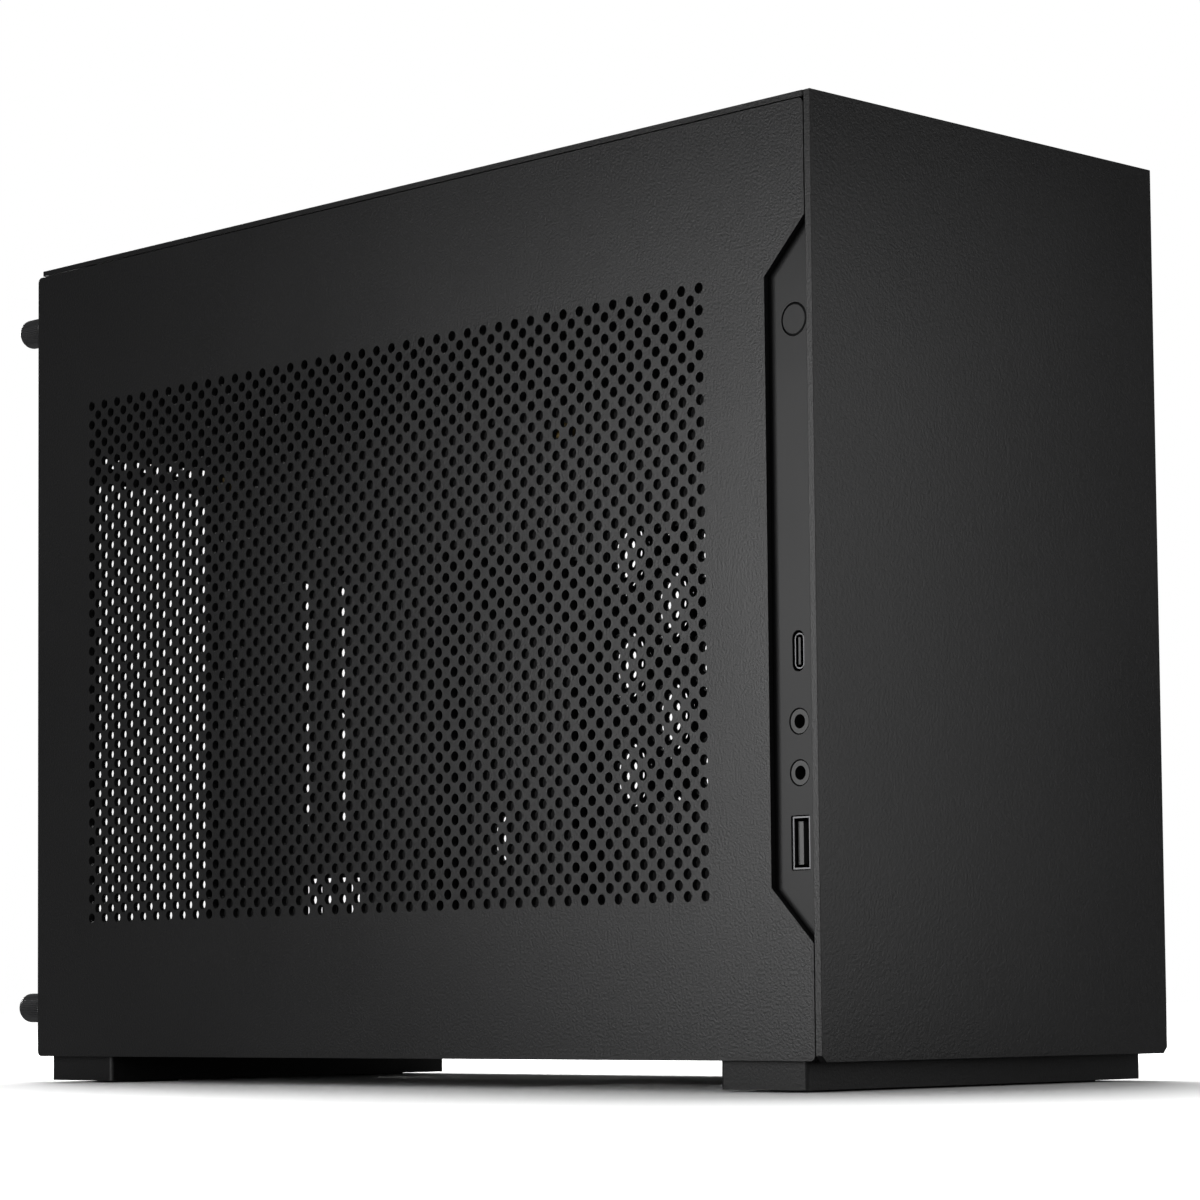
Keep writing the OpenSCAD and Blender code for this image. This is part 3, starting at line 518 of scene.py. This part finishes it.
def side_panel(name, node, body, side, notched):
    sizes = bpy.context.scene.case_panels
    bm = perforated(side_outline(notched), (sizes.first_column, sizes.first_row),
                    sizes.columns, sizes.rows, SKIN, sizes.edge_round)
    bm.transform(Matrix.Translation((side * HALF_W - (SKIN if side > 0 else 0), FRONT_Y, UNDER_Z))
                 @ ON_SIDE)
    side_folds(bm, side)
    return finish_piece(bm, name, panel_coat(), body, [node])


def side_folds(bm, side):
    """The folded rear edge with its screw holes, and the two hooks of a side panel."""
    def block(x0, x1, d0, d1, h0, h1):
        xs = sorted((side * x0, side * x1))
        return add_box(bm, (xs[0], FRONT_Y + d0, UNDER_Z + h0), (xs[1], FRONT_Y + d1, UNDER_Z + h1))

    inside = HALF_W - SKIN + 0.1 * MM
    fold = bmesh.new()
    xs = sorted((side * (HALF_W - FOLD_WIDTH), side * inside))
    low, high = UNDER_Z + SIDE_LOW + 4 * MM, UNDER_Z + SIDE_HIGH - 4 * MM
    edges = ring_of_edges(fold, [(xs[0], low), (xs[1], low), (xs[1], high), (xs[0], high)])
    for node in THUMBSCREWS:
        x, z = screw_axis(node)
        if x * side > 0:
            edges += circle_edges(fold, x, z, SCREW_HOLE / 2, 24)
    bmesh.ops.triangle_fill(fold, use_beauty=True, use_dissolve=False, edges=edges)
    thicken(fold, SKIN)
    fold.transform(Matrix.Translation((0, FRONT_Y + SIDE_REAR - SKIN, 0)) @ ON_FRONT)
    join(bm, fold)
    for low in (12.6 * MM, 218.4 * MM):
        block(65.6 * MM, inside, 23.2 * MM, 24.2 * MM, low, low + 9.5 * MM)
        block(65.6 * MM, 66.6 * MM, 15.2 * MM, 23.3 * MM, low, low + 9.5 * MM)


class CASE_OT_side_panels(bpy.types.Operator):
    """Make both perforated side panels"""
    bl_idname = "case.side_panels"
    bl_label = "Side panels"

    def execute(self, context):
        side_panel("left_panel_mesh", "left_side_panel", "left_panel", -1, True)
        side_panel("right_panel_mesh", "right_side_panel", "right_panel", 1, False)
        return {"FINISHED"}


class CASE_OT_top_panel(bpy.types.Operator):
    """Make the perforated top panel"""
    bl_idname = "case.top_panel"
    bl_label = "Top panel"

    def execute(self, context):
        sizes = context.scene.case_panels
        low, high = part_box("top_panel")
        outline = round_box(low.x, high.x, low.y, high.y, 0.4 * MM, 3)
        pairs, rows = 12, 45
        first = (-pairs * sizes.column_gap, FRONT_Y + sizes.first_column)
        bm = perforated(outline, first, pairs, rows, high.z - low.z, sizes.edge_round)
        bmesh.ops.translate(bm, vec=(0, 0, low.z), verts=bm.verts[:])
        finish_piece(bm, "top_panel_mesh", panel_coat(), "lid", ["top_panel"])
        return {"FINISHED"}


class CASE_OT_front_panel(bpy.types.Operator):
    """Make the plain front panel with rounded edges"""
    bl_idname = "case.front_panel"
    bl_label = "Front panel"

    def execute(self, context):
        low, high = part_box("front_panel")
        corner = 1.6 * MM
        bm = bmesh.new()
        bm.faces.new([bm.verts.new((x, z, 0)) for x, z in (
            (low.x + corner, low.z), (high.x - corner, low.z), (high.x, low.z + corner),
            (high.x, high.z), (low.x, high.z), (low.x, low.z + corner))])
        thicken(bm, high.y - low.y)
        round_edges(bm, 0.2 * MM, segments=3)
        bm.transform(Matrix.Translation((0, low.y, 0)) @ ON_FRONT)
        finish_piece(bm, "front_panel_plate", panel_coat(), "chassis", ["front_panel"])
        return {"FINISHED"}


# ---- Thumbscrews


THUMBSCREWS = {
    "thumbscrew_left_upper": "left_upper_screw",
    "thumbscrew_left_lower": "left_lower_screw",
    "thumbscrew_right_upper": "right_upper_screw",
    "thumbscrew_right_lower": "right_lower_screw",
}


def screw_axis(node):
    low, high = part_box(node)
    return (low.x + high.x) / 2, (low.z + high.z) / 2


def knurled_screw(node, body):
    """A turned thumbscrew: shank, collar, knurled barrel and domed end."""
    low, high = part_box(node)
    axis = screw_axis(node)
    radius = (high.x - low.x) / 2
    collar = FRONT_Y + SIDE_REAR + 0.1 * MM
    grooves = 44
    bm = bmesh.new()

    def turned(profile, segments):
        verts = [bm.verts.new((r, y, 0)) for r, y in profile]
        edges = [bm.edges.new(pair) for pair in zip(verts, verts[1:])]
        bmesh.ops.spin(bm, geom=verts + edges, cent=(0, 0, 0), axis=(0, 1, 0),
                       angle=math.tau, steps=segments, use_merge=True)

    shank, dome = 1.75 * MM, 2.4 * MM
    turned([(0, low.y), (shank - 0.5 * MM, low.y), (shank, low.y + 0.6 * MM), (shank, collar),
            (radius - 1 * MM, collar), (radius - 1 * MM, collar + 1.3 * MM), (0, collar + 1.3 * MM)], 32)
    head = (arc(radius - dome, high.y - dome, dome, 10, 90, 6)
            + [(1.8 * MM, high.y), (1.6 * MM, high.y - 0.8 * MM), (0, high.y - 0.8 * MM)])
    start = collar + 1.3 * MM
    turned([(0, start), (radius - 0.45 * MM, start), (radius, start + 0.4 * MM)] + head, grooves * 2)
    bmesh.ops.remove_doubles(bm, verts=bm.verts[:], dist=0.002 * MM)
    for vert in bm.verts:
        turn = math.atan2(vert.co.z, vert.co.x) / math.tau * grooves * 2
        on_barrel = math.hypot(vert.co.x, vert.co.z) > radius - 0.06 * MM
        if on_barrel and round(turn) % 2:
            vert.co.x *= 1 - 0.28 * MM / radius
            vert.co.z *= 1 - 0.28 * MM / radius
    bmesh.ops.translate(bm, vec=(axis[0], 0, axis[1]), verts=bm.verts[:])
    return finish_piece(bm, node + "_knurled", screw_black(), body, [node], 30)


class CASE_OT_thumbscrews(bpy.types.Operator):
    """Make the four knurled thumbscrews"""
    bl_idname = "case.thumbscrews"
    bl_label = "Thumbscrews"

    def execute(self, context):
        for node, body in THUMBSCREWS.items():
            knurled_screw(node, body)
        return {"FINISHED"}


# ---- Finishes of the CAD nodes that keep their shape


FINISHES = {
    frame_coat: ["front_frame", "base_pan", "rear_panel", "top_frame", "radiator_bracket",
                 "centre_wall", "psu_bracket", "riser_bracket", "frame_rivets", "slot_cover_1", "slot_cover_2",
                 "slot_cover_3"],
    foot_coat: ["front_foot", "rear_foot"],
    strip_plastic: ["io_strip", "power_button"],
    screw_black: ["slot_cover_screws", "inlet_screws"],
    black_plastic: ["riser_socket", "stud_clips", "power_switch", "audio_socket_upper",
                    "audio_socket_lower", "mains_inlet"],
    plated: ["panel_studs", "bracket_screws", "io_strip_screws", "io_board_screws",
             "foot_screws", "riser_screws", "thread_bushes"],
    small_port: ["usb_c_port"],
    large_port: ["usb_a_port"],
    brass: ["board_spacers"],
    rubber: ["foot_pads"],
    circuit_board: ["io_board", "riser_board"],
}


class CASE_OT_finishes(bpy.types.Operator):
    """Give every remaining piece its finish"""
    bl_idname = "case.finishes"
    bl_label = "Finishes"

    def execute(self, context):
        for finish, names in FINISHES.items():
            for name in names:
                materials = NODES[name].data.materials
                materials.clear()
                materials.append(finish())
        return {"FINISHED"}


# ---- Stage


def area_lamp(name, place, target, width, height, power):
    data = bpy.data.lights.new(name, "AREA")
    data.shape = "RECTANGLE"
    data.size, data.size_y = width, height
    data.energy = power
    lamp = bpy.data.objects.new(name, data)
    bpy.context.scene.collection.objects.link(lamp)
    lamp.location = place
    lamp.rotation_euler = (Vector(target) - Vector(place)).to_track_quat("-Z", "Y").to_euler()
    return lamp


def photo_camera():
    """The camera of the photograph, from a fit to the panel's holes and edges."""
    image = 1200
    focal_px = 3764.4
    centre_px = (633.6, 734.3)
    turn, lift, roll = (math.radians(a) for a in (-44.967, 3.996, -0.570))
    ahead = Vector((math.sin(-turn) * math.cos(lift), math.cos(turn) * math.cos(lift), math.sin(lift)))
    across = ahead.cross(Vector((0, 0, 1))).normalized()
    up = across.cross(ahead)
    right = math.cos(roll) * across + math.sin(roll) * up
    above = -math.sin(roll) * across + math.cos(roll) * up
    data = bpy.data.cameras.new("Camera")
    data.sensor_width = 36
    data.lens = focal_px / image * data.sensor_width
    data.shift_x = (image / 2 - centre_px[0]) / image
    data.shift_y = (centre_px[1] - image / 2) / image
    data.clip_start, data.clip_end = 0.01, 50
    camera = bpy.data.objects.new("Camera", data)
    camera.matrix_world = Matrix.Translation((-0.76063, -0.79570, 0.02415)) @ Matrix(
        (right, above, -ahead)).transposed().to_4x4()
    bpy.context.scene.collection.objects.link(camera)
    bpy.context.scene.camera = camera


def floor_material():
    """A pale floor that shows as white away from the case where no shadow falls; near the case its glow to the
    camera fades to nothing, a painted shade round the case beside the real shadow.
    """
    material, tree, shader = new_nodes("Pale floor")
    colour = bpy.context.scene.case_stage.floor_colour
    grain = add_grain(tree, 300, 0.02, 0.05 * MM)
    tint(tree, grain.outputs["Cloud"], [c * 0.99 for c in colour], colour, shader.inputs["Base Color"])
    shader.inputs["Roughness"].default_value = 0.9
    shader.inputs["Specular IOR Level"].default_value = 0.1
    seen = tree.nodes.new("ShaderNodeLightPath")
    white = tree.nodes.new("ShaderNodeEmission")
    # Painted shade: the glow seen by the camera is nothing within 0.2 m of the middle and full beyond 0.7 m,
    # so the floor darkens towards the case
    place = tree.nodes.new("ShaderNodeTexCoord")
    away = tree.nodes.new("ShaderNodeVectorMath")
    away.operation = "LENGTH"
    painted_shade_ramp = tree.nodes.new("ShaderNodeMapRange")
    painted_shade_ramp.inputs["From Min"].default_value = 0.2
    painted_shade_ramp.inputs["From Max"].default_value = 0.7
    painted_shade_ramp.inputs["To Min"].default_value = 0.0
    painted_shade_ramp.inputs["To Max"].default_value = 1.0
    tree.links.new(place.outputs["Object"], away.inputs[0])
    tree.links.new(away.outputs["Value"], painted_shade_ramp.inputs["Value"])
    tree.links.new(painted_shade_ramp.outputs["Result"], white.inputs["Strength"])
    dim = tree.nodes.new("ShaderNodeBsdfDiffuse")
    dim.inputs["Color"].default_value = (0.11, 0.11, 0.11, 1)
    pick = tree.nodes.new("ShaderNodeMixShader")
    both = tree.nodes.new("ShaderNodeAddShader")
    tree.links.new(shader.outputs["BSDF"], both.inputs[0])
    tree.links.new(white.outputs["Emission"], both.inputs[1])
    tree.links.new(seen.outputs["Is Camera Ray"], pick.inputs["Fac"])
    tree.links.new(dim.outputs["BSDF"], pick.inputs[1])
    tree.links.new(both.outputs["Shader"], pick.inputs[2])
    output = next(n for n in tree.nodes if n.bl_idname == "ShaderNodeOutputMaterial")
    tree.links.new(pick.outputs["Shader"], output.inputs["Surface"])
    return material


def white_world():
    """White behind the case, and low light, strongest from behind the camera and the case."""
    world = bpy.data.worlds.new("White room")
    bpy.context.scene.world = world
    world.use_nodes = True
    tree = world.node_tree
    tree.nodes.clear()
    output = tree.nodes.new("ShaderNodeOutputWorld")
    seen = tree.nodes.new("ShaderNodeLightPath")
    light = tree.nodes.new("ShaderNodeBackground")
    place = tree.nodes.new("ShaderNodeTexCoord")
    along = tree.nodes.new("ShaderNodeVectorMath")
    along.operation = "DOT_PRODUCT"
    along.inputs[1].default_value = (0.70, 0.70, 0.15)
    power = tree.nodes.new("ShaderNodeMath")
    power.operation = "POWER"
    power.inputs[1].default_value = 4
    size = tree.nodes.new("ShaderNodeMath")
    size.operation = "ABSOLUTE"
    level = tree.nodes.new("ShaderNodeMapRange")
    level.inputs["To Min"].default_value = 0.08
    level.inputs["To Max"].default_value = 1.0
    tree.links.new(place.outputs["Generated"], along.inputs[0])
    tree.links.new(along.outputs["Value"], size.inputs[0])
    tree.links.new(size.outputs["Value"], power.inputs[0])
    tree.links.new(power.outputs["Value"], level.inputs["Value"])
    tree.links.new(level.outputs["Result"], light.inputs["Strength"])
    white = tree.nodes.new("ShaderNodeBackground")
    white.inputs["Color"].default_value = (1, 1, 1, 1)
    light.inputs["Color"].default_value = (1, 1, 1, 1)
    white.inputs["Strength"].default_value = 1
    pick = tree.nodes.new("ShaderNodeMixShader")
    tree.links.new(seen.outputs["Is Camera Ray"], pick.inputs["Fac"])
    tree.links.new(light.outputs["Background"], pick.inputs[1])
    tree.links.new(white.outputs["Background"], pick.inputs[2])
    tree.links.new(pick.outputs["Shader"], output.inputs["Surface"])


class CASE_OT_stage(bpy.types.Operator):
    """Make the floor, lamps, world and camera"""
    bl_idname = "case.stage"
    bl_label = "Stage"

    def execute(self, context):
        settings = context.scene.case_stage
        bm = bmesh.new()
        bmesh.ops.create_grid(bm, x_segments=1, y_segments=1, size=6)
        mesh = bpy.data.meshes.new("floor")
        bm.to_mesh(mesh)
        bm.free()
        floor = bpy.data.objects.new("floor", mesh)
        context.scene.collection.objects.link(floor)
        floor.data.materials.append(floor_material())
        middle = (0, 0, 0.13)
        area_lamp("High lamp", (0.4, 0.48, 1.8), middle, 1.0, 1.0, settings.key_power)
        area_lamp("Rear lamp", (0.5, 1.15, 0.6), middle, 0.4, 0.4, settings.rear_power)
        area_lamp("Side lamp", (-0.476, 0.073, 0.156), (-HALF_W, -0.1, 0.12), 0.304, 0.304,
                  settings.side_power)
        area_lamp("Front lamp", (0.081, -0.44, 0.147), (-0.03, FRONT_Y, 0.12), 0.288, 0.288,
                  settings.front_power)
        white_world()
        context.scene.view_settings.view_transform = "Standard"
        photo_camera()
        return {"FINISHED"}


class CASE_PT_panel(bpy.types.Panel):
    """Lists the case's pieces and sizes"""
    bl_label = "Computer case"
    bl_space_type = "VIEW_3D"
    bl_region_type = "UI"
    bl_category = "Case"

    def draw(self, context):
        for operator in PIECES:
            self.layout.operator(operator.bl_idname)
        for group in (context.scene.case_panels, context.scene.case_finish, context.scene.case_stage):
            column = self.layout.column()
            for name in group.__annotations__:
                column.prop(group, name)


GROUPS = {"case_panels": CasePanels, "case_finish": CaseFinish, "case_stage": CaseStage}
PIECES = [CASE_OT_side_panels, CASE_OT_top_panel, CASE_OT_front_panel, CASE_OT_thumbscrews,
          CASE_OT_finishes, CASE_OT_stage]
CLASSES = [*GROUPS.values(), *PIECES, CASE_PT_panel]


def register():
    for cls in CLASSES:
        bpy.utils.register_class(cls)
    for name, cls in GROUPS.items():
        setattr(bpy.types.Scene, name, bpy.props.PointerProperty(type=cls))


def unregister():
    for name in GROUPS:
        delattr(bpy.types.Scene, name)
    for cls in reversed(CLASSES):
        bpy.utils.unregister_class(cls)


def main():
    register()
    bpy.ops.case.side_panels()
    bpy.ops.case.top_panel()
    bpy.ops.case.front_panel()
    bpy.ops.case.thumbscrews()
    bpy.ops.case.finishes()
    bpy.ops.case.stage()


if __name__ == "__main__":
    main()
